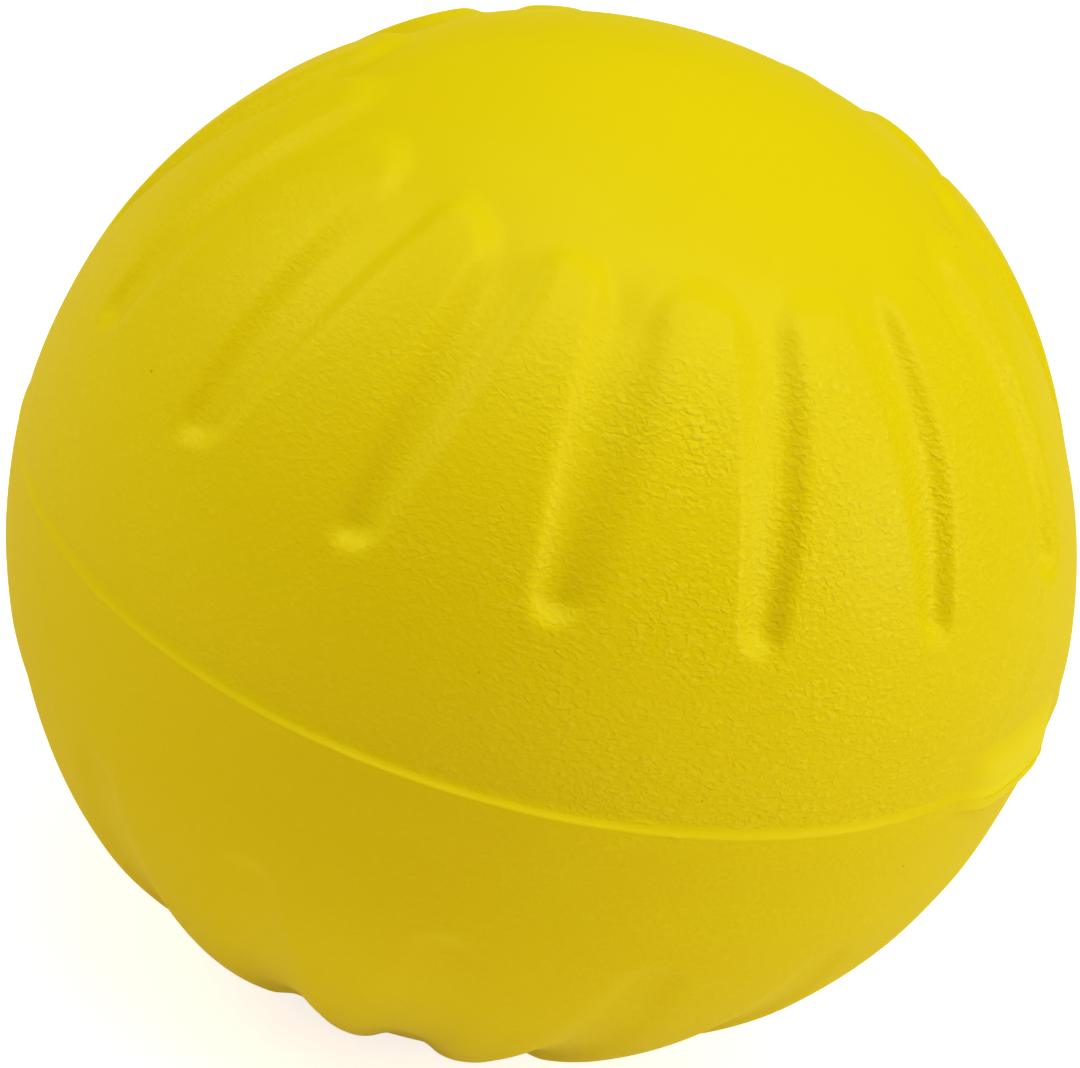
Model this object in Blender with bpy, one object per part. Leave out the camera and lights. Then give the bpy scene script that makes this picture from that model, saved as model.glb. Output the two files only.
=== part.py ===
"""A moulded foam fetch ball for dogs: two halves with raised lands between their flutes, the weld
that joins them at the parting line, and the trimmed stub of the moulding gate that straddles it.

Metres, +Z up along the moulding axis, with the origin at the ball's centre. Longitude 0 faces -Y
and grows towards +X. Colatitude is measured from the pole of the half it belongs to.
"""

from math import acos, cos, hypot, pi, radians, sin, sqrt

import bmesh
import bpy

# Ball
BALL_RADIUS = 0.0350

# Flutes along the meridians of each half
FLUTES = 15
FIRST_FLUTE = radians(3.0)
FLUTE_FOOT = radians(70.0)
FLUTE_DEPTH = 0.0011
TOP_HALF_WIDTH = 0.0021
FOOT_HALF_WIDTH = 0.0015

# Lowered cap round each pole, which the flutes open onto
CAP_EDGE = radians(30.5)
CAP_DROP = 0.0006
CAP_BLEND = radians(8.0)

# Raised lands between the flutes
LAND_CORNER = 0.0020
WALL_RUN = 0.0017

# Parting line
FIT_GAP = 0.0003
WELD_THICKNESS = 0.0002
BEAD_RISE = 0.0003
BEAD_HEIGHT = 0.0007
RIM_CHAMFER = 0.0006

# Moulding gate
GATE_LONGITUDE = radians(70.0)
GATE_WIDTH = 0.0116
GATE_HEIGHT = 0.0080
GATE_SQUARENESS = 2.6
GATE_RISE = 0.0005
GATE_EDGE = 0.0009
GATE_ROOT = 0.0020
CUTTER_OVERSHOOT = 0.0040

# Facets
FLUTE_COLUMNS = (-1.0, -0.75, -0.4, 0.0, 0.4, 0.75, 1.0)
BAND_ROWS = 4
FOOT_ROWS = 4
RUN_ROWS = 5
LAND_TIP_ROWS = 6
CAP_ROWS = 4
WELD_STEPS = 90
GATE_STEPS = 32

# Finishes
FOAM_YELLOW = (0.78, 0.60, 0.006, 1.0)
CUT_FOAM_YELLOW = (0.82, 0.66, 0.012, 1.0)
SKIN_ROUGHNESS = 0.42
CUT_ROUGHNESS = 0.55


def clear_scene():
    """Remove whatever the scene holds."""
    for thing in list(bpy.data.objects):
        bpy.data.objects.remove(thing, do_unlink=True)


def foam(name, colour, roughness):
    """A foam finish of one colour."""
    material = bpy.data.materials.new(name)
    material.use_nodes = True
    shader = material.node_tree.nodes["Principled BSDF"]
    shader.inputs["Base Color"].default_value = colour
    shader.inputs["Roughness"].default_value = roughness
    shader.inputs["Metallic"].default_value = 0.0
    return material


def add_piece(name, mesh, parent, material=None):
    """Turn a finished bmesh into a smooth-shaded object under its parent."""
    bmesh.ops.recalc_face_normals(mesh, faces=mesh.faces)
    data = bpy.data.meshes.new(name)
    mesh.to_mesh(data)
    mesh.free()
    data.shade_smooth()
    data.set_sharp_from_angle(angle=radians(35.0))
    if material:
        data.materials.append(material)
    piece = bpy.data.objects.new(name, data)
    piece.parent = parent
    bpy.context.scene.collection.objects.link(piece)
    return piece


def add_ring(mesh, points):
    """A closed loop of edges through the points."""
    corners = [mesh.verts.new(point) for point in points]
    return [mesh.edges.new(pair) for pair in zip(corners, corners[1:] + corners[:1])]


def loft(mesh, sections):
    """Skin a run of closed sections, and return the first and the last loop."""
    loops = [add_ring(mesh, section) for section in sections]
    for loop, following in zip(loops, loops[1:]):
        bmesh.ops.bridge_loops(mesh, edges=loop + following)
    return loops[0], loops[-1]


def close_with_peak(mesh, loop, peak):
    """Close a loop with a fan of faces that meet at the peak."""
    cap = bmesh.ops.edgeloop_fill(mesh, edges=loop)["faces"]
    bmesh.ops.poke(mesh, faces=cap)["verts"][0].co = peak


def spread(start, end, steps):
    """Evenly spaced values from start up to, but without, end."""
    return [start + (end - start) * step / steps for step in range(steps)]


def smooth_step(value):
    """Ease from 0 to 1 as value goes from 0 to 1."""
    value = min(max(value, 0.0), 1.0)
    return value * value * (3.0 - 2.0 * value)


def skin_point(colatitude, longitude, depth):
    """The point of the upper half's skin that lies this deep below the plain ball."""
    reach = BALL_RADIUS - depth
    across = reach * sin(colatitude)
    return across * sin(longitude), -across * cos(longitude), reach * cos(colatitude)


def flute_half_width(colatitude):
    """Distance from a flute's centre line to the middle of its wall, which narrows to the foot."""
    along = (colatitude - CAP_EDGE) / (FLUTE_FOOT - CAP_EDGE)
    along = min(max(along, 0.0), 1.0)
    return TOP_HALF_WIDTH + (FOOT_HALF_WIDTH - TOP_HALF_WIDTH) * along


def foot_centre():
    """Colatitude of the centre of a flute's rounded foot."""
    return FLUTE_FOOT - (FOOT_HALF_WIDTH + WALL_RUN / 2) / BALL_RADIUS


def recess_margin(colatitude, offset):
    """Distance outside the middle of the recess's wall, with the lands' upper corners rounded."""
    aside = offset * BALL_RADIUS * sin(colatitude)
    beyond = max(colatitude - foot_centre(), 0.0) * BALL_RADIUS
    from_flute = hypot(aside, beyond) - flute_half_width(colatitude)
    from_cap = (colatitude - CAP_EDGE) * BALL_RADIUS
    if max(from_flute, from_cap) >= LAND_CORNER:
        return min(from_flute, from_cap)
    return LAND_CORNER - hypot(LAND_CORNER - from_flute, LAND_CORNER - from_cap)


def recess_depth(colatitude, offset):
    """Depth of the skin at this longitude offset from the nearest flute's centre line."""
    past_cap = (colatitude - CAP_EDGE) / CAP_BLEND + 0.5
    floor = CAP_DROP + (FLUTE_DEPTH - CAP_DROP) * smooth_step(past_cap)
    return floor * smooth_step(0.5 - recess_margin(colatitude, offset) / WALL_RUN)


def half_section(colatitude):
    """One ring of the upper half's skin, with its columns gathered at the flutes' walls."""
    girth = BALL_RADIUS * sin(min(max(colatitude, CAP_EDGE), FLUTE_FOOT))
    reach = (flute_half_width(colatitude) + WALL_RUN / 2) / girth
    pitch = 2.0 * pi / FLUTES
    offsets = [column * reach for column in FLUTE_COLUMNS] + [pitch / 2]
    points = []
    for flute in range(FLUTES):
        for offset in offsets:
            longitude = FIRST_FLUTE + flute * pitch + offset
            depth = recess_depth(colatitude, offset)
            points.append(skin_point(colatitude, longitude, depth))
    return points


def half_colatitudes(rim):
    """Colatitudes of the skin's rings, from the rim to the last ring before the pole."""
    land_root = CAP_EDGE + LAND_CORNER / BALL_RADIUS
    land_tip = CAP_EDGE - WALL_RUN / 2 / BALL_RADIUS
    rows = spread(rim, FLUTE_FOOT, BAND_ROWS)
    rows += spread(FLUTE_FOOT, foot_centre(), FOOT_ROWS)
    rows += spread(foot_centre(), land_root, RUN_ROWS)
    rows += spread(land_root, land_tip, LAND_TIP_ROWS)
    return rows + spread(land_tip, 0.0, CAP_ROWS)


def make_half(name, side, parent, material):
    """A solid fluted half with a flat joint face and a chamfered rim: side is 1 above, -1 below."""
    joint_height = WELD_THICKNESS / 2 + FIT_GAP
    rim = acos((joint_height + RIM_CHAMFER) / BALL_RADIUS)
    sections = [half_section(colatitude) for colatitude in half_colatitudes(rim)]
    shrink = 1.0 - RIM_CHAMFER / BALL_RADIUS
    joint_edge = [(x * shrink, y * shrink, joint_height) for x, y, _ in sections[0]]
    sections.insert(0, joint_edge)
    mesh = bmesh.new()
    joint_loop, cap_loop = loft(mesh, sections)
    bmesh.ops.edgeloop_fill(mesh, edges=joint_loop)
    close_with_peak(mesh, cap_loop, (0.0, 0.0, BALL_RADIUS - CAP_DROP))
    bmesh.ops.scale(mesh, vec=(1.0, 1.0, side), verts=mesh.verts)
    return add_piece(name, mesh, parent, material)


def weld_section(longitude):
    """Outline of the weld on one side of the axis: a thin web with a bead squeezed out at its rim."""
    web = WELD_THICKNESS / 2
    bead = BEAD_HEIGHT / 2
    upper = [
        (BALL_RADIUS - 2 * RIM_CHAMFER, web),
        (BALL_RADIUS - BEAD_RISE, 0.5 * (web + bead)),
        (BALL_RADIUS, bead),
        (BALL_RADIUS + 0.8 * BEAD_RISE, 0.6 * bead),
    ]
    lower = [(radius, -height) for radius, height in reversed(upper)]
    outline = upper + [(BALL_RADIUS + BEAD_RISE, 0.0)] + lower
    return [(r * sin(longitude), -r * cos(longitude), z) for r, z in outline]


def make_weld(name, parent, material):
    """The layer that fuses the halves, from the axis out to the bead on the parting line."""
    mesh = bmesh.new()
    web = WELD_THICKNESS / 2
    turns = [weld_section(longitude) for longitude in spread(0.0, 2.0 * pi, WELD_STEPS)]
    upper_loop, lower_loop = loft(mesh, list(zip(*turns)))
    close_with_peak(mesh, upper_loop, (0.0, 0.0, web))
    close_with_peak(mesh, lower_loop, (0.0, 0.0, -web))
    return add_piece(name, mesh, parent, material)


def gate_outline(inset):
    """The gate's rounded outline in its own plane, drawn in by inset."""
    half_width = GATE_WIDTH / 2 - inset
    half_height = GATE_HEIGHT / 2 - inset
    power = 2.0 / GATE_SQUARENESS
    points = []
    for angle in spread(0.0, 2.0 * pi, GATE_STEPS):
        across, up = cos(angle), sin(angle)
        x = half_width * abs(across) ** power * (1 if across > 0 else -1)
        y = half_height * abs(up) ** power * (1 if up > 0 else -1)
        points.append((x, y))
    return points


def gate_section(inset, rise):
    """The gate's outline laid on the ball's skin and raised by rise."""
    points = []
    for x, y in gate_outline(inset):
        sag = BALL_RADIUS - sqrt(BALL_RADIUS**2 - x * x - y * y)
        points.append((x, y, rise - sag))
    return points


def place_at_gate(piece):
    """Set a piece on the parting line with its own +Z pointing straight out of the ball."""
    x, y = BALL_RADIUS * sin(GATE_LONGITUDE), -BALL_RADIUS * cos(GATE_LONGITUDE)
    piece.location = (x, y, 0.0)
    piece.rotation_euler = (pi / 2, 0.0, GATE_LONGITUDE)


def make_gate(name, parent, material):
    """The stub left where the moulding gate was trimmed: a low pad with rounded edges."""
    root = [(x, y, -GATE_ROOT) for x, y in gate_outline(0.0)]
    sections = [
        root,
        gate_section(0.0, 0.0),
        gate_section(0.25 * GATE_EDGE, 0.6 * GATE_RISE),
        gate_section(GATE_EDGE, GATE_RISE),
        gate_section(GATE_HEIGHT / 4, GATE_RISE),
    ]
    mesh = bmesh.new()
    root_loop, crown_loop = loft(mesh, sections)
    bmesh.ops.edgeloop_fill(mesh, edges=root_loop)
    close_with_peak(mesh, crown_loop, (0.0, 0.0, GATE_RISE))
    piece = add_piece(name, mesh, parent, material)
    place_at_gate(piece)
    return piece


def make_gate_pocket(parent):
    """Cutter for the pocket that seats the gate stub with a fit gap all round."""
    outline = gate_outline(-FIT_GAP)
    floor = [(x, y, -GATE_ROOT - FIT_GAP) for x, y in outline]
    mouth = [(x, y, CUTTER_OVERSHOOT) for x, y in outline]
    mesh = bmesh.new()
    for loop in loft(mesh, [floor, mouth]):
        bmesh.ops.edgeloop_fill(mesh, edges=loop)
    cutter = add_piece("gate_pocket", mesh, parent)
    place_at_gate(cutter)
    cutter.hide_render = True
    cutter.display_type = "WIRE"
    return cutter


def cut(piece, cutter):
    """Take the cutter's shape out of a piece."""
    modifier = piece.modifiers.new(cutter.name, "BOOLEAN")
    modifier.operation = "DIFFERENCE"
    modifier.solver = "EXACT"
    modifier.object = cutter


def make_ball():
    """Build the ball's pieces around an empty at its centre."""
    centre = bpy.data.objects.new("ball_centre", None)
    bpy.context.scene.collection.objects.link(centre)
    upper_foam = foam("upper_half_foam", FOAM_YELLOW, SKIN_ROUGHNESS)
    lower_foam = foam("lower_half_foam", FOAM_YELLOW, SKIN_ROUGHNESS)
    weld_foam = foam("weld_seam_foam", FOAM_YELLOW, SKIN_ROUGHNESS)
    gate_foam = foam("gate_stub_foam", CUT_FOAM_YELLOW, CUT_ROUGHNESS)
    pocketed = [
        make_half("upper_half", 1, centre, upper_foam),
        make_half("lower_half", -1, centre, lower_foam),
        make_weld("weld_seam", centre, weld_foam),
    ]
    make_gate("gate_stub", centre, gate_foam)
    pocket = make_gate_pocket(centre)
    for piece in pocketed:
        cut(piece, pocket)


clear_scene()
make_ball()
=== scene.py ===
"""Looks of a moulded foam fetch ball: its two fluted halves, the flash along the parting line and
the trimmed gate, with their finishes, a plain studio and the camera.

Metres, +Z up along the moulding axis, with the origin at the ball's centre. Longitude 0 faces -Y
and grows towards +X. Colatitude is measured from the pole of the half it belongs to.
"""

import logging
from dataclasses import dataclass, field
from enum import Enum
from math import cos, pi, radians, sin, sqrt
from typing import Any

import bpy
import numpy as np
from mathutils import Matrix, Vector, noise

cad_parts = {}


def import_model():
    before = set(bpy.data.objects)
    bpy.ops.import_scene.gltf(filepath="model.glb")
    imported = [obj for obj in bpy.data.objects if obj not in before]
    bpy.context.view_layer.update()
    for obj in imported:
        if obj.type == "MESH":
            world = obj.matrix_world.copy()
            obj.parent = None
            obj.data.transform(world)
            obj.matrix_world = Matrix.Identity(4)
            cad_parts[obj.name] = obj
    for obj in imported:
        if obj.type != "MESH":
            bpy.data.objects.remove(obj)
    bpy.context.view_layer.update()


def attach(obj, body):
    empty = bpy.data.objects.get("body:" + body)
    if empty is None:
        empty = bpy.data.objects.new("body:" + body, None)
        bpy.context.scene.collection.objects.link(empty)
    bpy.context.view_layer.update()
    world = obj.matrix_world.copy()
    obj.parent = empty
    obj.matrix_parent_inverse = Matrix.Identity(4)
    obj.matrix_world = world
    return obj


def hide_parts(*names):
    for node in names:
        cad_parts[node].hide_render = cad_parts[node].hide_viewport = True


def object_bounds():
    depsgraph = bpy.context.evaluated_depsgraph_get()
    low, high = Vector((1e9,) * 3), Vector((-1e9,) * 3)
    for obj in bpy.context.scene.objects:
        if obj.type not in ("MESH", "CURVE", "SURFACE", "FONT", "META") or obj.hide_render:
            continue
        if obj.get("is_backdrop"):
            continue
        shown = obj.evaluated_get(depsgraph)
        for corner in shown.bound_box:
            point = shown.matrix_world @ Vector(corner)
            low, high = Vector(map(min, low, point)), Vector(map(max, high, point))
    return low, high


LOG = logging.getLogger("fetch_ball")
BODY = "root"
MILLIMETRE = 0.001
TINY = 1e-6
HALFWAY = 0.5
PHOTO_WIDTH = 1080
WHITE = (1.0, 1.0, 1.0)
WARM = (1.0, 0.62, 0.42)
LAYER_FADE = 1.0
LAYER_STEP = 2.0

Colour = tuple[float, float, float, float]


class Side(Enum):
    """Which half of the ball, by the sign of its height."""

    UPPER = 1
    LOWER = -1


class Wire:
    """A node's output, on which arithmetic adds Math nodes to the sheet."""

    def __init__(self, sheet: "NodeSheet", socket: bpy.types.NodeSocket) -> None:
        """Hold an output of a node on a sheet."""
        self.sheet = sheet
        self.socket = socket

    def _math(self, operation: str, first: Any, second: Any) -> "Wire":
        """Add a Math node.

        Args:
            operation: Name of the Math node's operation.
            first: Wire or number for the first input.
            second: Wire or number for the second input.

        Returns:
            The Math node's result.
        """
        return self.sheet.add("ShaderNodeMath", {"operation": operation}, {0: first, 1: second})

    def __add__(self, other: Any) -> "Wire":
        """Add a wire or a number."""
        return self._math("ADD", self, other)

    def __radd__(self, other: Any) -> "Wire":
        """Add this wire to a number."""
        return self._math("ADD", other, self)

    def __sub__(self, other: Any) -> "Wire":
        """Subtract a wire or a number."""
        return self._math("SUBTRACT", self, other)

    def __rsub__(self, other: Any) -> "Wire":
        """Subtract this wire from a number."""
        return self._math("SUBTRACT", other, self)

    def __mul__(self, other: Any) -> "Wire":
        """Multiply by a wire or a number."""
        return self._math("MULTIPLY", self, other)

    def __rmul__(self, other: Any) -> "Wire":
        """Multiply a number by this wire."""
        return self._math("MULTIPLY", other, self)

    def larger(self, other: "Wire") -> "Wire":
        """Take the larger of two wires."""
        return self._math("MAXIMUM", self, other)


class NodeSheet:
    """A node tree that is filled one node at a time."""

    def __init__(self, tree: bpy.types.NodeTree) -> None:
        """Take over a node tree and empty it."""
        tree.nodes.clear()
        self.tree = tree

    def add(self, kind: str, settings: dict[str, Any], inputs: dict[Any, Any], output: Any = 0) -> Wire:
        """Add a node of any kind.

        Args:
            kind: The node's type name.
            settings: Values of the node's own properties; "stops" are a ramp's positions and colours.
            inputs: Wires or values by the input's name or number.
            output: Name or number of the output to return.

        Returns:
            The chosen output; for a node without outputs, a wire that holds nothing.
        """
        node = self.tree.nodes.new(kind)
        for name, value in settings.items():
            if name == "stops":
                self._set_stops(node.color_ramp, value)
            else:
                setattr(node, name, value)
        for name, value in inputs.items():
            if isinstance(value, Wire):
                self.tree.links.new(value.socket, node.inputs[name])
            else:
                node.inputs[name].default_value = value
        return Wire(self, node.outputs[output] if len(node.outputs) else None)

    @staticmethod
    def _set_stops(ramp: bpy.types.ColorRamp, stops: list[tuple[float, Colour]]) -> None:
        """Give a colour ramp its stops.

        Args:
            ramp: The ramp of a node.
            stops: Position and colour of each stop, two or more.
        """
        while len(ramp.elements) < len(stops):
            ramp.elements.new(1.0)
        for element, (position, colour) in zip(ramp.elements, stops):
            element.position = position
            element.color = colour

    def mix(self, factor: Any, first: Any, second: Any, blend: str = "MIX") -> Wire:
        """Mix two colours.

        Args:
            factor: Share of the second colour.
            first: Wire or colour.
            second: Wire or colour.
            blend: How the second colour is laid on the first.

        Returns:
            The mixed colour.
        """
        return self.add(
            "ShaderNodeMix",
            {"data_type": "RGBA", "blend_type": blend},
            {"Factor": factor, "A": first, "B": second},
            "Result",
        )


def grey(value: float) -> Colour:
    """A neutral colour of this brightness."""
    return value, value, value, 1.0


@dataclass(frozen=True)
class FoamSkin:
    """The satin moulded skin of closed-cell foam, wrinkled where the mould let it shrink.

    The "wrinkle" attribute of a piece says how strongly its skin is wrinkled at each place. The
    wrinkles' crests are painted paler, a painted highlight that stands in for glints of light. A faint
    sheen in the foam's own colour follows the wrinkles and is sharper on them, and a thin even gloss
    lies over all of it.
    """

    name: str
    colour: Colour = (0.708, 0.644, 0.0014, 1.0)
    deep_colour: Colour = (0.698, 0.626, 0.0010, 1.0)
    crest_glint_colour: Colour = (0.81, 0.760, 0.0350, 1.0)
    smooth_roughness: float = 0.36
    wrinkled_roughness: float = 0.28
    specular: float = 0.0
    sheen: float = 0.028
    sheen_colour: Colour = (1.0, 0.90, 0.03, 1.0)
    gloss: float = 0.125
    gloss_roughness: float = 0.40
    wrinkle_size: float = 0.44 * MILLIMETRE
    wrinkle_height: float = 0.090 * MILLIMETRE
    wrinkle_flatness: float = 1.5
    wrinkle_layers: float = 1.0
    wrinkle_fade: float = 0.35
    wrinkle_warp: float = 0.6
    crest_foot: float = 0.54
    crest_top: float = 0.74
    crest_glint_share: float = 0.20
    patch_least: float = 0.20
    patch_gain: float = 1.6
    cloud_size: float = 7.0 * MILLIMETRE
    cloud_layers: float = 2.0
    cloud_fade: float = 0.5
    speck_size: float = 4.6 * MILLIMETRE
    speck_scatter: float = 1.0
    speck_core: float = 0.012
    speck_edge: float = 0.030
    speck_shade: float = 0.62

    def material(self) -> bpy.types.Material:
        """Make the finish as a material.

        Returns:
            A new material with its nodes in place.
        """
        material = bpy.data.materials.new(self.name)
        material.use_nodes = True
        sheet = NodeSheet(material.node_tree)
        place = sheet.add("ShaderNodeTexCoord", {}, {}, "Object")
        clouds = sheet.add(
            "ShaderNodeTexNoise",
            {},
            {
                "Vector": place,
                "Scale": 1.0 / self.cloud_size,
                "Detail": self.cloud_layers,
                "Roughness": self.cloud_fade,
            },
        )
        wrinkled = sheet.add("ShaderNodeAttribute", {"attribute_name": "wrinkle"}, {}, "Fac")
        wrinkled = wrinkled * (clouds * self.patch_gain + self.patch_least)
        lumps = self._lumps(sheet, place)
        crests = sheet.add(
            "ShaderNodeMapRange",
            {"interpolation_type": "SMOOTHSTEP"},
            {"Value": lumps, "From Min": self.crest_foot, "From Max": self.crest_top},
        )
        relief = lumps * wrinkled * self.wrinkle_height
        bumped = sheet.add(
            "ShaderNodeBump",
            {},
            {"Strength": 1.0, "Distance": 1.0, "Height": relief},
            "Normal",
        )
        # Painted highlight: the wrinkles' crests are painted paler to stand in for glints of light.
        crest_glint = crests * wrinkled * self.crest_glint_share
        sharpened = self.smooth_roughness - self.wrinkled_roughness
        shader = sheet.add(
            "ShaderNodeBsdfPrincipled",
            {},
            {
                "Base Color": self._colour(sheet, place, clouds, crest_glint),
                "Roughness": self.smooth_roughness - wrinkled * sharpened,
                "Normal": bumped,
                "Metallic": self.sheen,
                "Specular IOR Level": self.specular,
                "Specular Tint": self.sheen_colour,
                "Coat Weight": self.gloss,
                "Coat Roughness": self.gloss_roughness,
            },
        )
        sheet.add("ShaderNodeOutputMaterial", {}, {"Surface": shader})
        return material

    def _lumps(self, sheet: NodeSheet, place: Wire) -> Wire:
        """Lay out the fine wrinkles, drawn out along the parallels.

        Args:
            sheet: The material's nodes.
            place: Where the surface is.

        Returns:
            The wrinkles' height, from 0 to 1.
        """
        squash = (1.0, 1.0, self.wrinkle_flatness)
        squashed = sheet.add("ShaderNodeMapping", {}, {"Vector": place, "Scale": squash})
        return sheet.add(
            "ShaderNodeTexNoise",
            {},
            {
                "Vector": squashed,
                "Scale": 1.0 / self.wrinkle_size,
                "Detail": self.wrinkle_layers,
                "Roughness": self.wrinkle_fade,
                "Distortion": self.wrinkle_warp,
            },
        )

    def _colour(self, sheet: NodeSheet, place: Wire, clouds: Wire, crest_glint: Wire) -> Wire:
        """Mix the foam's yellow, the crests' painted highlight and the few dark specks.

        Args:
            sheet: The material's nodes.
            place: Where the surface is.
            clouds: Slow changes over the skin.
            crest_glint: How far the crests are painted paler, a painted highlight.

        Returns:
            The skin's colour.
        """
        foam = sheet.mix(clouds, self.deep_colour, self.colour)
        # Lay the painted highlight on the crests.
        crested = sheet.mix(crest_glint, foam, self.crest_glint_colour)
        specks = sheet.add(
            "ShaderNodeTexVoronoi",
            {"feature": "F1"},
            {"Vector": place, "Scale": 1.0 / self.speck_size, "Randomness": self.speck_scatter},
            "Distance",
        )
        shade = sheet.add(
            "ShaderNodeValToRGB",
            {"stops": [(self.speck_core, grey(self.speck_shade)), (self.speck_edge, grey(1.0))]},
            {"Fac": specks},
            "Color",
        )
        return sheet.mix(1.0, crested, shade, "MULTIPLY")


@dataclass(frozen=True)
class RaisedHighlightFoam(FoamSkin):
    """Foam skin that is painted paler where the gate's tongue stands out of the ball, a painted
    highlight.
    """

    raised_highlight_colour: Colour = (0.760, 0.725, 0.0080, 1.0)

    def _colour(self, sheet: NodeSheet, place: Wire, clouds: Wire, crest_glint: Wire) -> Wire:
        """Mix the skin's colour with the paler colour of the painted highlight.

        Args:
            sheet: The material's nodes.
            place: Where the surface is.
            clouds: Slow changes over the skin.
            crest_glint: How far the crests are painted paler, a painted highlight.

        Returns:
            The skin's colour with the painted highlight on the tongue.
        """
        # Painted highlight: the tongue is painted paler as far as it stands out of the ball.
        raised_highlight = sheet.add("ShaderNodeAttribute", {"attribute_name": "raised_highlight"}, {}, "Fac")
        skin = super()._colour(sheet, place, clouds, crest_glint)
        return sheet.mix(raised_highlight, skin, self.raised_highlight_colour)


@dataclass(frozen=True)
class PaleFloor:
    """A plain pale floor that shows as white to the eye and keeps a soft shadow."""

    name: str = "pale_floor"
    colour: Colour = (0.90, 0.81, 0.70, 1.0)
    lift: float = 0.76

    def material(self) -> bpy.types.Material:
        """Make the floor's material.

        Returns:
            A matt pale finish with some extra brightness for whatever looks straight at it.
        """
        material = bpy.data.materials.new(self.name)
        material.use_nodes = True
        sheet = NodeSheet(material.node_tree)
        matt = sheet.add("ShaderNodeBsdfDiffuse", {}, {"Color": self.colour})
        strength = self._looked_at(sheet) * self.lift
        glow = sheet.add("ShaderNodeEmission", {}, {"Color": grey(1.0), "Strength": strength})
        both = sheet.add("ShaderNodeAddShader", {}, {0: matt, 1: glow})
        sheet.add("ShaderNodeOutputMaterial", {}, {"Surface": both})
        return material

    @staticmethod
    def _looked_at(sheet: NodeSheet) -> Wire:
        """Tell what is seen straight, in a mirror or through glass from what only gives light.

        Args:
            sheet: The floor's nodes.

        Returns:
            1 for a ray that shows the surface, 0 for one that gathers its light.
        """
        rays = ("Is Camera Ray", "Is Glossy Ray", "Is Transmission Ray")
        camera, glossy, clear = [sheet.add("ShaderNodeLightPath", {}, {}, ray) for ray in rays]
        return camera.larger(glossy).larger(clear)


def ease(values: np.ndarray) -> np.ndarray:
    """Ease from 0 to 1 as the values go from 0 to 1."""
    held = np.clip(values, 0.0, 1.0)
    return held * held * (3.0 - 2.0 * held)


def bend(values: np.ndarray, steepest: float = HALFWAY) -> np.ndarray:
    """Rise from 0 to 1 along two parabolas.

    Args:
        values: Places along the rise, from 0 at its foot to 1 at its head.
        steepest: Where the rise is steepest and the parabolas meet.

    Returns:
        The share of the rise at each place.
    """
    held = np.clip(values, 0.0, 1.0)
    return np.where(held < steepest, held**2 / steepest, 1.0 - (1.0 - held) ** 2 / (1.0 - steepest))


def bell(values: np.ndarray) -> np.ndarray:
    """Fall off from 1 at 0 along a bell curve of spread 1."""
    return np.exp(-0.5 * values**2)


def hump(shares: np.ndarray) -> np.ndarray:
    """Rise from 0 to 1 and back along a parabola as the shares go from 0 to 1."""
    return 4.0 * shares * (1.0 - shares)


def turned_from(middle: float, longitude: np.ndarray) -> np.ndarray:
    """Angle east of a middle longitude, the short way round."""
    return (longitude - middle + pi) % (2.0 * pi) - pi


def outward(longitude: float | np.ndarray, latitude: float | np.ndarray) -> np.ndarray:
    """Find directions from the ball's centre.

    Args:
        longitude: Angle or angles round the moulding axis.
        latitude: As many angles above the parting plane.

    Returns:
        Unit vectors, one to a row.
    """
    level = np.cos(latitude)
    return np.stack((level * np.sin(longitude), -level * np.cos(longitude), np.sin(latitude)), axis=-1)


def rumple(points: np.ndarray, size: float, layers: int) -> np.ndarray:
    """Find a smooth random height at each point.

    Args:
        points: Places in metres, one to a row.
        size: Width of the largest lumps.
        layers: How many layers of ever finer lumps are added up.

    Returns:
        Heights from about -1 to 1.
    """
    scaled = points / size
    return np.array([noise.fractal(Vector(point), LAYER_FADE, LAYER_STEP, layers) for point in scaled])


@dataclass(frozen=True)
class Swell:
    """A broad place where the foam stands proud of a true ball, or falls short of it."""

    longitude: float
    latitude: float
    rise: float
    spread: float

    def at(self, directions: np.ndarray) -> np.ndarray:
        """Find the rise of the skin.

        Args:
            directions: Unit vectors from the ball's centre, one to a row.

        Returns:
            The rise in metres for each direction.
        """
        middle = outward(self.longitude, self.latitude)
        turn = np.arccos(np.clip(directions @ middle, -1.0, 1.0))
        return self.rise * bell(turn / self.spread)


@dataclass(frozen=True)
class Wall:
    """One wall of a flute, from the edge of the land down to the floor.

    The edge is measured from the flute's centre line, and the wall is steepest at a share of its run.
    """

    edge: float = 3.0 * MILLIMETRE
    run: float = 2.6 * MILLIMETRE
    steepest: float = 0.4

    def sink(self, aside: np.ndarray) -> np.ndarray:
        """Share of the flute's depth at distances from the centre line towards this wall."""
        return bend((self.edge - aside) / self.run, self.steepest)


@dataclass(frozen=True)
class Flute:
    """How one flute came out of the mould, with its own walls, depth and drift of the foot."""

    west: Wall = Wall()
    east: Wall = Wall()
    depth: float = 1.00 * MILLIMETRE
    foot_drift: float = 0.0

    def sink(self, aside: np.ndarray) -> np.ndarray:
        """Share of the depth at distances east of the centre line."""
        return self.west.sink(-aside) * self.east.sink(aside)


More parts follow.
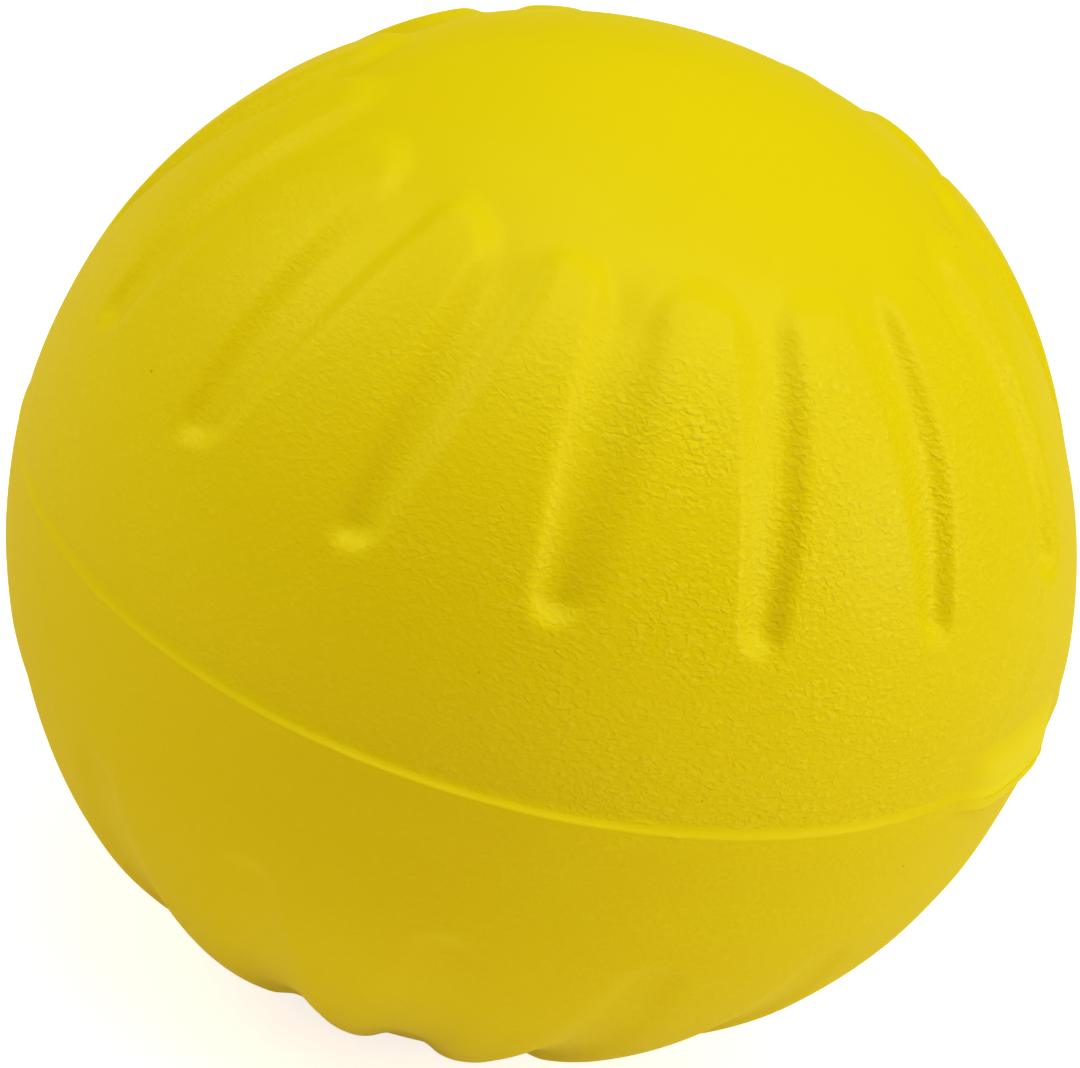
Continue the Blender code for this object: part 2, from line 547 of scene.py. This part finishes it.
@dataclass(frozen=True)
class BallForm:
    """The moulded shape that all the pieces share."""

    radius: float = 0.0350
    flutes: int = 15
    first_flute: float = radians(3.0)
    foot_end: float = radians(71.6)
    foot_run: float = 2.3 * MILLIMETRE
    foot_round: float = 1.2 * MILLIMETRE
    foot_width: float = 2.5 * MILLIMETRE
    narrows_from: float = radians(50.0)
    narrowing: float = 0.30
    widest_edge: float = 4.6 * MILLIMETRE
    cap_blend: float = radians(9.0)
    cap_drop: float = 0.55 * MILLIMETRE
    land_top_radius: float = 3.0 * MILLIMETRE
    land_top_run: float = 3.0 * MILLIMETRE
    step_rise: float = 0.50 * MILLIMETRE
    ledge_top: float = 0.46 * MILLIMETRE
    ledge_bottom: float = 0.24 * MILLIMETRE
    ledge_steepest: float = 0.96
    ledge_fade: float = 6.0 * MILLIMETRE
    loose_side: float = radians(-3.0)
    loose_spread: float = radians(36.0)
    tight_share: float = 0.17
    lump_size: float = 11.0 * MILLIMETRE
    lump_height: float = 0.050 * MILLIMETRE
    lump_layers: int = 2
    swells: tuple[Swell, ...] = (
        Swell(radians(78.0), radians(-20.0), 0.28 * MILLIMETRE, radians(14.0)),
        Swell(radians(89.0), radians(2.0), 0.30 * MILLIMETRE, radians(5.0)),
        Swell(radians(126.0), radians(53.7), 0.39 * MILLIMETRE, radians(12.0)),
        Swell(radians(-47.5), radians(-46.4), 0.16 * MILLIMETRE, radians(14.0)),
        Swell(radians(99.0), radians(25.0), -0.36 * MILLIMETRE, radians(9.0)),
        Swell(radians(-110.6), radians(40.7), -0.26 * MILLIMETRE, radians(12.0)),
        Swell(radians(43.7), radians(-48.5), -0.26 * MILLIMETRE, radians(12.0)),
    )

    def recess(
        self,
        colatitude: np.ndarray,
        longitude: np.ndarray,
        flutes: dict[int, Flute],
        cap_edge: float,
        foot_fade: float,
    ) -> np.ndarray:
        """Find the depth of the flutes and of the cap that they run out on.

        Args:
            colatitude: Angle from the pole of the half.
            longitude: Angle round the moulding axis.
            flutes: The flutes that differ from the usual one, by their number from the first.
            cap_edge: Angle from the pole to the edge of the cap.
            foot_fade: Share of the depth that a flute loses on its way to the foot.

        Returns:
            The depth below the plain ball.
        """
        pitch = 2.0 * pi / self.flutes
        turn = (longitude - self.first_flute) / pitch
        number = np.round(turn).astype(int)
        level = self.radius * np.sin(colatitude)
        half_pitch = pitch * level / 2.0
        aside = (turn - number) * pitch * level
        to_foot = ease((colatitude - self.narrows_from) / (self.foot_end - self.narrows_from))
        crowded = np.minimum(half_pitch / self.widest_edge, 1.0)
        scale = np.maximum(crowded, TINY) * (1.0 - self.narrowing * to_foot)
        sunk = np.zeros(len(aside))
        depth = np.zeros(len(aside))
        for index in range(self.flutes):
            here = number % self.flutes == index
            flute = flutes.get(index, Flute())
            sunk[here] = flute.sink((aside[here] - flute.foot_drift * to_foot[here]) / scale[here])
            depth[here] = flute.depth
        rounded = self.foot_round * (aside / self.foot_width) ** 2
        to_end = (self.foot_end - colatitude) * self.radius - rounded
        sunk *= bend(to_end / self.foot_run)
        from_ridge = half_pitch - np.abs(aside)
        arch = from_ridge**2 / (2.0 * self.land_top_radius)
        past_cap = colatitude - cap_edge
        land = (1.0 - sunk) * bend((past_cap * self.radius - arch) / self.land_top_run)
        along = ease(past_cap / (self.foot_end - cap_edge))
        floor = self.cap_drop + (depth - self.cap_drop) * ease(past_cap / self.cap_blend)
        return floor * (1.0 - foot_fade * along) * (1.0 - land)

    def ledge(self, longitude: np.ndarray, height: np.ndarray) -> np.ndarray:
        """Find how far the lower half stands out past the upper one.

        Args:
            longitude: Angle round the moulding axis.
            height: Height above the parting plane.

        Returns:
            The rise, which grows downwards across the parting line and is least where the mould
            shut squarely.
        """
        aside = turned_from(self.loose_side, longitude)
        loose = self.tight_share + (1.0 - self.tight_share) * bell(aside / self.loose_spread)
        width = self.ledge_top + self.ledge_bottom
        across = bend((self.ledge_top - height) / width, self.ledge_steepest)
        down = 1.0 - ease((-height - self.ledge_bottom) / self.ledge_fade)
        return self.step_rise * loose * across * down

    def reach(self, directions: np.ndarray) -> np.ndarray:
        """Find the plain skin, which is a ball with slow lumps and swells.

        Args:
            directions: Unit vectors from the ball's centre, one to a row.

        Returns:
            The skin's distance from the centre in each direction.
        """
        lumps = rumple(directions * self.radius, self.lump_size, self.lump_layers) * self.lump_height
        return sum((swell.at(directions) for swell in self.swells), self.radius + lumps)


def settle_selection() -> None:
    """Deselect everything, so that the next operator acts only on the new piece."""
    bpy.ops.object.select_all(action="DESELECT")


def points_of(piece: bpy.types.Object) -> np.ndarray:
    """Read a piece's points.

    Args:
        piece: The piece to read.

    Returns:
        The points, one to a row.
    """
    flat = np.empty(len(piece.data.vertices) * 3)
    piece.data.vertices.foreach_get("co", flat)
    return flat.reshape(-1, 3)


def move_points(piece: bpy.types.Object, points: np.ndarray) -> None:
    """Put a piece's points in new places, given one to a row."""
    piece.data.vertices.foreach_set("co", points.ravel())
    piece.data.update()


def store(piece: bpy.types.Object, name: str, values: np.ndarray) -> None:
    """Keep a named value for each point of a piece, for its finish to read."""
    attribute = piece.data.attributes.new(name, "FLOAT", "POINT")
    attribute.data.foreach_set("value", values.astype(np.float32))


def join_frame(piece: bpy.types.Object, node: str) -> None:
    """Tie a finished piece to the frame.

    Args:
        piece: The finished piece.
        node: The node that it stands for.
    """
    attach(piece, BODY)
    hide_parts(node)
    LOG.info("%s: %d faces", piece.name, len(piece.data.polygons))


@dataclass
class FoamHalf:
    """One solid foam half, from its pole to the parting line."""

    side: Side
    form: BallForm
    finish: FoamSkin
    node: str
    flutes: dict[int, Flute]
    cap_edge: float
    foot_fade: float
    land_wrinkle: float
    band_wrinkle: float
    cap_wrinkle: float
    mismatch: float = 0.16 * MILLIMETRE
    mismatch_run: float = 8.0 * MILLIMETRE
    band_run: float = radians(9.0)
    wrinkle_run: float = radians(14.0)
    wrinkle_start: float = 0.15
    coarse_side: float = radians(34.0)
    coarse_spread: float = radians(26.0)
    fine_share: float = 0.40
    rim_height: float = 0.04 * MILLIMETRE
    rim_drop: float = 0.024 * MILLIMETRE
    rim_turn: float = 0.10 * MILLIMETRE
    first_cuts: int = 10
    second_cuts: int = 15
    crease: float = radians(50.0)

    def build(self) -> bpy.types.Object:
        """Model the half from a cube that is cut up, halved, rounded and moulded.

        Returns:
            The closed half, at the origin.
        """
        settle_selection()
        bpy.ops.mesh.primitive_cube_add(size=2.0 * self.form.radius)
        half = bpy.context.object
        half.name = f"foam_{self.node}"
        half.data.name = half.name
        bpy.ops.object.mode_set(mode="EDIT")
        bpy.ops.mesh.select_all(action="SELECT")
        bpy.ops.mesh.subdivide(number_cuts=self.first_cuts)
        bpy.ops.mesh.subdivide(number_cuts=self.second_cuts)
        bpy.ops.mesh.select_all(action="SELECT")
        bpy.ops.mesh.bisect(
            plane_co=(0.0, 0.0, 0.0),
            plane_no=(0.0, 0.0, self.side.value),
            clear_inner=True,
            threshold=TINY,
        )
        bpy.ops.object.mode_set(mode="OBJECT")
        self._mould(half)
        self._close(half)
        bpy.ops.object.shade_smooth_by_angle(angle=self.crease)
        return half

    def _mould(self, half: bpy.types.Object) -> None:
        """Round the halved cube into the ball's skin, press the flutes into it and wrinkle it.

        Args:
            half: The open, finely cut half of a cube.
        """
        form = self.form
        ball = np.tan(points_of(half) / form.radius * pi / 4)
        ball /= np.linalg.norm(ball, axis=1)[:, None]
        rim = pi / 2 - self.rim_height / form.radius
        colatitude = np.arccos(np.clip(ball[:, 2] * self.side.value, 0.0, 1.0)) * rim / (pi / 2)
        longitude = np.arctan2(ball[:, 0], -ball[:, 1])
        out = outward(longitude, (pi / 2 - colatitude) * self.side.value)
        depth = form.recess(colatitude, longitude, self.flutes, self.cap_edge, self.foot_fade)
        ledge = form.ledge(longitude, out[:, 2] * form.radius)
        points = out * (form.reach(out) + ledge - depth)[:, None]
        from_rim = (rim - colatitude) * form.radius
        points[:, 0] += self.mismatch * self.side.value * ease(from_rim / self.mismatch_run)
        move_points(half, points)
        store(half, "wrinkle", self._wrinkles(colatitude, longitude))

    def _wrinkles(self, colatitude: np.ndarray, longitude: np.ndarray) -> np.ndarray:
        """Find how strongly the skin is wrinkled, which differs between cap, lands and band.

        Args:
            colatitude: Angle from the pole of the half.
            longitude: Angle round the moulding axis.

        Returns:
            The strength at each place.
        """
        past_cap = ease((colatitude - self.cap_edge) / self.wrinkle_run - self.wrinkle_start)
        on_band = ease((colatitude - self.form.foot_end) / self.band_run)
        fluted = self.land_wrinkle + (self.band_wrinkle - self.land_wrinkle) * on_band
        aside = turned_from(self.coarse_side, longitude)
        coarse = self.fine_share + (1.0 - self.fine_share) * bell(aside / self.coarse_spread)
        return self.cap_wrinkle + (fluted * coarse - self.cap_wrinkle) * past_cap

    def _close(self, half: bpy.types.Object) -> None:
        """Turn the rim in at the parting line and close the half with its joint face.

        Args:
            half: The moulded half, open at the parting line.
        """
        bpy.ops.object.mode_set(mode="EDIT")
        bpy.ops.mesh.select_mode(type="EDGE")
        bpy.ops.mesh.select_all(action="DESELECT")
        bpy.ops.mesh.select_non_manifold()
        shrink = 1.0 - self.rim_turn / self.form.radius
        down = (0.0, 0.0, -self.rim_drop * self.side.value)
        bpy.ops.mesh.extrude_edges_move(TRANSFORM_OT_translate={"value": down})
        bpy.ops.transform.resize(value=(shrink, shrink, 1.0))
        bpy.ops.mesh.edge_face_add()
        bpy.ops.mesh.select_all(action="SELECT")
        bpy.ops.mesh.normals_make_consistent(inside=False)
        bpy.ops.object.mode_set(mode="OBJECT")

    def dress(self, half: bpy.types.Object) -> None:
        """Finish the half and tie it to the frame.

        Args:
            half: The modelled half.
        """
        half.data.materials.append(self.finish.material())
        join_frame(half, self.node)


@dataclass(frozen=True)
class Curl:
    """A thread of flash that curled back onto the skin beside the parting line."""

    longitude: float
    half_length: float
    height: float
    arch: float
    rise: float
    half_width: float = 0.07 * MILLIMETRE
    end_share: float = 0.5

    def at(self, longitude: np.ndarray, height: np.ndarray, radius: float) -> np.ndarray:
        """Find how far the thread stands proud.

        Args:
            longitude: Angle round the moulding axis.
            height: Height above the parting plane.
            radius: The ball's radius.

        Returns:
            The rise in metres.
        """
        along = (longitude - self.longitude) * radius / self.half_length
        middle = self.height + self.arch * (1.0 - along**2)
        ends = ease((1.0 - np.abs(along)) / self.end_share)
        return self.rise * ends * bell((height - middle) / self.half_width)


@dataclass
class PartingFlash:
    """The fused layer between the halves, with the thin flap of foam that it squeezed out all round."""

    form: BallForm
    finish: FoamSkin
    node: str = "weld_seam"
    web: float = 0.02 * MILLIMETRE
    root: float = 0.60 * MILLIMETRE
    flap_top: float = 0.48 * MILLIMETRE
    flap_bottom: float = 0.60 * MILLIMETRE
    flap_lift: float = 0.050 * MILLIMETRE
    buried: float = 0.015 * MILLIMETRE
    steps: int = 1440
    profile_points: int = 56
    axis_share: float = 0.9
    wander: float = 0.06 * MILLIMETRE
    wander_size: float = 8.8 * MILLIMETRE
    wander_layers: int = 1
    uneven: float = 0.05
    ripple_size: float = 2.2 * MILLIMETRE
    ripple_layers: int = 2
    ripple_shift: float = 1.0
    wrinkle: float = 0.15
    crease: float = radians(60.0)
    curls: tuple[Curl, ...] = (
        Curl(radians(18.0), 0.95 * MILLIMETRE, 0.22 * MILLIMETRE, 0.16 * MILLIMETRE, 0.075 * MILLIMETRE),
        Curl(radians(21.9), 0.45 * MILLIMETRE, -0.34 * MILLIMETRE, 0.10 * MILLIMETRE, 0.060 * MILLIMETRE),
    )

    def build(self) -> bpy.types.Object:
        """Model the layer by spinning its outline round the moulding axis.

        Returns:
            The closed layer, at the origin.
        """
        settle_selection()
        bpy.ops.mesh.primitive_circle_add(vertices=self.profile_points, radius=1.0)
        flash = bpy.context.object
        flash.name = "parting_flash"
        flash.data.name = flash.name
        move_points(flash, self._outline(points_of(flash)))
        bpy.ops.object.mode_set(mode="EDIT")
        bpy.ops.mesh.select_all(action="SELECT")
        bpy.ops.mesh.spin(steps=self.steps, angle=2.0 * pi, center=(0.0, 0.0, 0.0), axis=(0.0, 0.0, 1.0))
        bpy.ops.mesh.select_all(action="SELECT")
        bpy.ops.mesh.remove_doubles(threshold=TINY)
        bpy.ops.mesh.normals_make_consistent(inside=False)
        bpy.ops.object.mode_set(mode="OBJECT")
        self._squeeze(flash)
        bpy.ops.object.shade_smooth_by_angle(angle=self.crease)
        return flash

    def _outline(self, ring: np.ndarray) -> np.ndarray:
        """Bend a circle into the layer's outline: a thin web from the axis, and a flap at its rim.

        Args:
            ring: Points of a circle of radius 1 about the origin.

        Returns:
            The outline's points, in the plane through the moulding axis and +X.
        """
        across, up = ring[:, 0], ring[:, 1]
        at_rim = across > -TINY
        at_axis = across < -self.axis_share
        x = np.where(at_rim, self.form.radius, self.form.radius - self.root)
        x = np.where(at_axis, 0.0, x)
        flap = np.where(up < 0.0, self.flap_bottom, self.flap_top) * up
        z = np.where(at_rim, flap, np.where(up < 0.0, -self.web, self.web))
        return np.stack((x, np.zeros(len(x)), z), axis=1)

    def _flap(self, longitude: np.ndarray, height: np.ndarray) -> np.ndarray:
        """Find how far the flap stands proud of the plain skin.

        Args:
            longitude: Angle round the moulding axis.
            height: Height above the parting plane.

        Returns:
            The rise, which grows downwards from the upper half's skin to the lower half's.
        """
        down = (self.flap_top - height) / (self.flap_top + self.flap_bottom)
        rise = self.form.ledge(longitude, height)
        rise += sum(curl.at(longitude, height, self.form.radius) for curl in self.curls)
        return rise + self.flap_lift * hump(down) - self.buried

    def _squeeze(self, flash: bpy.types.Object) -> None:
        """Lay the flap on the skin and make it wander and vary round the ball.

        Args:
            flash: The evenly spun layer.
        """
        radius = self.form.radius
        points = points_of(flash)
        at_rim = np.hypot(points[:, 0], points[:, 1]) > radius - self.root / 2.0
        rim = points[at_rim]
        longitude = np.arctan2(rim[:, 0], -rim[:, 1])
        level = outward(longitude, np.zeros(len(rim))) * radius
        ripple = rumple(level + self.ripple_shift, self.ripple_size, self.ripple_layers)
        drift = rumple(level, self.wander_size, self.wander_layers)
        proud = self._flap(longitude, rim[:, 2]) * (1.0 + self.uneven * ripple)
        out = outward(longitude, rim[:, 2] / radius)
        rim = out * (self.form.reach(out) + proud)[:, None]
        rim[:, 2] += self.wander * drift
        points[at_rim] = rim
        move_points(flash, points)
        store(flash, "wrinkle", np.full(len(points), self.wrinkle))

    def dress(self, flash: bpy.types.Object) -> None:
        """Finish the layer and tie it to the frame.

        Args:
            flash: The modelled layer.
        """
        flash.data.materials.append(self.finish.material())
        join_frame(flash, self.node)


@dataclass
class GateScar:
    """The soft tongue left where the moulding gate was trimmed off, hanging over the parting line."""

    form: BallForm
    finish: RaisedHighlightFoam
    node: str = "gate_stub"
    longitude: float = radians(70.5)
    half_length: float = 7.6 * MILLIMETRE
    end_run: float = 4.2 * MILLIMETRE
    slope_top: float = 3.4 * MILLIMETRE
    slope_run: float = 2.2 * MILLIMETRE
    lip: float = -1.15 * MILLIMETRE
    underside: float = 0.45 * MILLIMETRE
    overhang: float = 0.45 * MILLIMETRE
    margin: float = 0.8 * MILLIMETRE
    rise: float = 0.52 * MILLIMETRE
    seat: float = 0.06
    buried: float = 0.10 * MILLIMETRE
    root: float = 0.9 * MILLIMETRE
    cuts: int = 120
    wrinkle: float = 0.12
    crease: float = radians(50.0)

    def build(self) -> bpy.types.Object:
        """Model the tongue from a grid that is laid on the ball and thickened.

        Returns:
            The closed tongue, at the origin.
        """
        settle_selection()
        bpy.ops.mesh.primitive_grid_add(x_subdivisions=self.cuts, y_subdivisions=self.cuts, size=2.0)
        tongue = bpy.context.object
        tongue.name = "gate_scar"
        tongue.data.name = tongue.name
        out, rise, stands = self._lay(points_of(tongue))
        move_points(tongue, out * (self.form.reach(out) + rise)[:, None])
        # How far the tongue stands out, which its finish paints paler as a painted highlight on the
        # raised slope.
        store(tongue, "raised_highlight", stands)
        if tongue.data.polygons[0].normal.dot(Vector(out[0])) < 0.0:
            tongue.data.flip_normals()
        thicken = tongue.modifiers.new("thicken", "SOLIDIFY")
        thicken.thickness = self.root
        thicken.offset = -1.0
        bpy.ops.object.modifier_apply(modifier=thicken.name)
        store(tongue, "wrinkle", np.full(len(tongue.data.vertices), self.wrinkle))
        bpy.ops.object.shade_smooth_by_angle(angle=self.crease)
        return tongue

    def _lay(self, square: np.ndarray) -> tuple[np.ndarray, np.ndarray, np.ndarray]:
        """Find where the grid lies on the ball.

        Args:
            square: Points of a grid from -1 to 1 both ways.

        Returns:
            The direction of each point from the ball's centre, its height above the plain ball, and
            how far it stands out of the ball, from 0 to 1.
        """
        highest = self.slope_top + self.margin
        lowest = self.lip - self.underside - self.margin
        east = square[:, 0] * (self.half_length + self.margin)
        north = lowest + (square[:, 1] + 1.0) / 2.0 * (highest - lowest)
        slope = bend((self.slope_top - north) / self.slope_run)
        under = bend((north - self.lip + self.underside) / self.underside)
        ends = ease((self.half_length - np.abs(east)) / self.end_run)
        stands = slope * under * ends
        turn = self.longitude + east / self.form.radius
        out = outward(turn, (north - self.overhang * stands) / self.form.radius)
        rise = self.rise * stands - self.buried * (1.0 - ease(stands / self.seat))
        return out, self.form.ledge(turn, north) + rise, stands

    def dress(self, tongue: bpy.types.Object) -> None:
        """Finish the tongue and tie it to the frame.

        Args:
            tongue: The modelled tongue.
        """
        tongue.data.materials.append(self.finish.material())
        join_frame(tongue, self.node)


@dataclass(frozen=True)
class SoftLamp:
    """A round studio lamp that is aimed at the ball's centre."""

    name: str
    towards: tuple[float, float, float]
    size: float
    power: float
    colour: tuple[float, float, float] = WHITE
    distance: float = 0.60

    def place(self, axes: Matrix) -> None:
        """Set the lamp up.

        Args:
            axes: The camera's right, up and back directions as columns.
        """
        lamp = bpy.data.lights.new(self.name, "AREA")
        lamp.shape = "DISK"
        lamp.size = self.size
        lamp.energy = self.power
        lamp.color = self.colour
        thing = bpy.data.objects.new(self.name, lamp)
        direction = (axes @ Vector(self.towards)).normalized()
        thing.location = direction * self.distance
        thing.rotation_mode = "QUATERNION"
        thing.rotation_quaternion = direction.to_track_quat("Z", "Y")
        bpy.context.scene.collection.objects.link(thing)


@dataclass
class Studio:
    """The floor, the lamps, the sky and the camera.

    The camera stands a number of ball radii away, and the photograph gives the ball's radius and how
    far its centre lies to the right of the middle, both in pixels.
    """

    ball_radius: float
    elevation: float = radians(28.0)
    lean: float = radians(16.35)
    camera_distance: float = 14.0
    nearest: float = 0.01
    photo_radius: float = 534.65
    photo_aside: float = 2.34
    floor_size: float = 4.0
    floor_sides: int = 96
    sky: float = 0.345
    sky_colour: tuple[float, float, float] = WARM
    floor: PaleFloor = field(default_factory=PaleFloor)
    lamps: tuple[SoftLamp, ...] = (
        SoftLamp("key_lamp", (0.763, 0.499, 0.411), 0.25, 0.43),
        SoftLamp("front_key_lamp", (0.6, 0.455, 0.656), 0.32, 0.32),
        SoftLamp("upper_lamp", (0.45, 0.70, 0.55), 0.32, 0.50),
        SoftLamp("overhead_lamp", (0.0, 0.75, 0.66), 0.32, 0.86),
        SoftLamp("top_lamp", (0.0, 0.97, 0.25), 0.32, 0.29),
        SoftLamp("right_lamp", (0.95, 0.0, 0.25), 0.32, 0.97),
        SoftLamp("left_lamp", (-0.6, 0.75, 0.25), 0.32, 0.71),
        SoftLamp("rim_lamp", (-0.84, 0.54, -0.06), 0.25, 0.12),
        SoftLamp("low_lamp", (0.2, -0.6, 0.77), 0.32, 0.36, WARM),
    )

    def axes(self) -> Matrix:
        """Find how the camera is turned.

        Returns:
            The camera's right, up and back directions as columns.
        """
        back = Vector((0.0, -cos(self.elevation), sin(self.elevation)))
        level = Vector((1.0, 0.0, 0.0))
        upright = back.cross(level)
        right = cos(self.lean) * level + sin(self.lean) * upright
        return Matrix((right, back.cross(right), back)).transposed()

    def place_camera(self) -> None:
        """Stand the camera where the photograph was taken from."""
        axes = self.axes()
        away = self.camera_distance * self.ball_radius
        limb_slope = 1.0 / sqrt(self.camera_distance**2 - 1.0)
        camera = bpy.data.cameras.new("photo_camera")
        camera.lens = camera.sensor_width * self.photo_radius / limb_slope / PHOTO_WIDTH
        camera.clip_start = self.nearest
        thing = bpy.data.objects.new("photo_camera", camera)
        pixel = self.ball_radius / self.photo_radius
        place = axes @ Vector((-self.photo_aside * pixel, 0.0, away))
        thing.matrix_world = Matrix.Translation(place) @ axes.to_4x4()
        bpy.context.scene.collection.objects.link(thing)
        bpy.context.scene.camera = thing

    def place_floor(self, height: float) -> None:
        """Lay the floor under the ball.

        Args:
            height: Height of the ball's lowest point.
        """
        settle_selection()
        bpy.ops.mesh.primitive_circle_add(
            vertices=self.floor_sides,
            radius=self.floor_size,
            fill_type="NGON",
            location=(0.0, 0.0, height),
        )
        floor = bpy.context.object
        floor.name = "studio_floor"
        floor.data.materials.append(self.floor.material())
        floor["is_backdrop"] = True

    def light(self) -> None:
        """Light the ball with the sky and the lamps."""
        world = bpy.data.worlds.new("studio_sky")
        world.use_nodes = True
        sheet = NodeSheet(world.node_tree)
        colour = (*self.sky_colour, 1.0)
        sky = sheet.add("ShaderNodeBackground", {}, {"Color": colour, "Strength": self.sky})
        sheet.add("ShaderNodeOutputWorld", {}, {"Surface": sky})
        bpy.context.scene.world = world
        for lamp in self.lamps:
            lamp.place(self.axes())


UPPER_FLUTES = {
    0: Flute(
        west=Wall(3.0 * MILLIMETRE, 3.2 * MILLIMETRE, 0.30),
        east=Wall(4.2 * MILLIMETRE, 4.2 * MILLIMETRE, 0.50),
        depth=1.10 * MILLIMETRE,
        foot_drift=0.2 * MILLIMETRE,
    ),
    1: Flute(
        west=Wall(2.5 * MILLIMETRE, 3.2 * MILLIMETRE, 0.15),
        east=Wall(2.8 * MILLIMETRE, 2.1 * MILLIMETRE, 0.42),
        depth=0.85 * MILLIMETRE,
        foot_drift=-0.3 * MILLIMETRE,
    ),
    2: Flute(
        west=Wall(2.6 * MILLIMETRE, 3.0 * MILLIMETRE, 0.20),
        east=Wall(2.5 * MILLIMETRE, 1.9 * MILLIMETRE, 0.45),
        depth=0.85 * MILLIMETRE,
        foot_drift=-0.5 * MILLIMETRE,
    ),
    12: Flute(
        west=Wall(2.6 * MILLIMETRE, 2.4 * MILLIMETRE, 0.35),
        east=Wall(3.6 * MILLIMETRE, 4.0 * MILLIMETRE, 0.50),
        depth=0.60 * MILLIMETRE,
    ),
    13: Flute(
        west=Wall(2.4 * MILLIMETRE, 2.6 * MILLIMETRE, 0.45),
        east=Wall(4.4 * MILLIMETRE, 2.4 * MILLIMETRE, 0.50),
        depth=0.66 * MILLIMETRE,
    ),
    14: Flute(
        west=Wall(1.7 * MILLIMETRE, 2.2 * MILLIMETRE, 0.35),
        east=Wall(4.4 * MILLIMETRE, 3.4 * MILLIMETRE, 0.50),
        depth=0.98 * MILLIMETRE,
        foot_drift=-0.4 * MILLIMETRE,
    ),
}
SOFT_WALL = Wall(edge=4.4 * MILLIMETRE, run=4.0 * MILLIMETRE, steepest=HALFWAY)
LOWER_FLUTE = Flute(west=SOFT_WALL, east=SOFT_WALL, depth=1.25 * MILLIMETRE)
LOWER_FLUTES = {number: LOWER_FLUTE for number in range(BallForm.flutes)}


def main() -> None:
    """Build the ball's pieces, dress them and set up the studio."""
    logging.basicConfig(level=logging.INFO, format="%(message)s")
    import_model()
    form = BallForm()
    pieces = (
        FoamHalf(
            side=Side.UPPER,
            form=form,
            finish=FoamSkin("upper_foam_skin"),
            node="upper_half",
            flutes=UPPER_FLUTES,
            cap_edge=radians(30.5),
            foot_fade=0.0,
            land_wrinkle=1.50,
            band_wrinkle=1.50,
            cap_wrinkle=0.15,
        ),
        FoamHalf(
            side=Side.LOWER,
            form=form,
            finish=FoamSkin("lower_foam_skin"),
            node="lower_half",
            flutes=LOWER_FLUTES,
            cap_edge=radians(24.0),
            foot_fade=0.75,
            land_wrinkle=0.75,
            band_wrinkle=0.80,
            cap_wrinkle=0.20,
        ),
        PartingFlash(form, FoamSkin("flash_foam_skin")),
        GateScar(form, RaisedHighlightFoam("gate_foam_with_painted_highlight")),
    )
    for piece in pieces:
        piece.dress(piece.build())
    studio = Studio(form.radius)
    studio.place_floor(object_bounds()[0].z)
    studio.light()
    studio.place_camera()
    bpy.context.scene.view_settings.view_transform = "Standard"


if __name__ == "__main__":
    main()
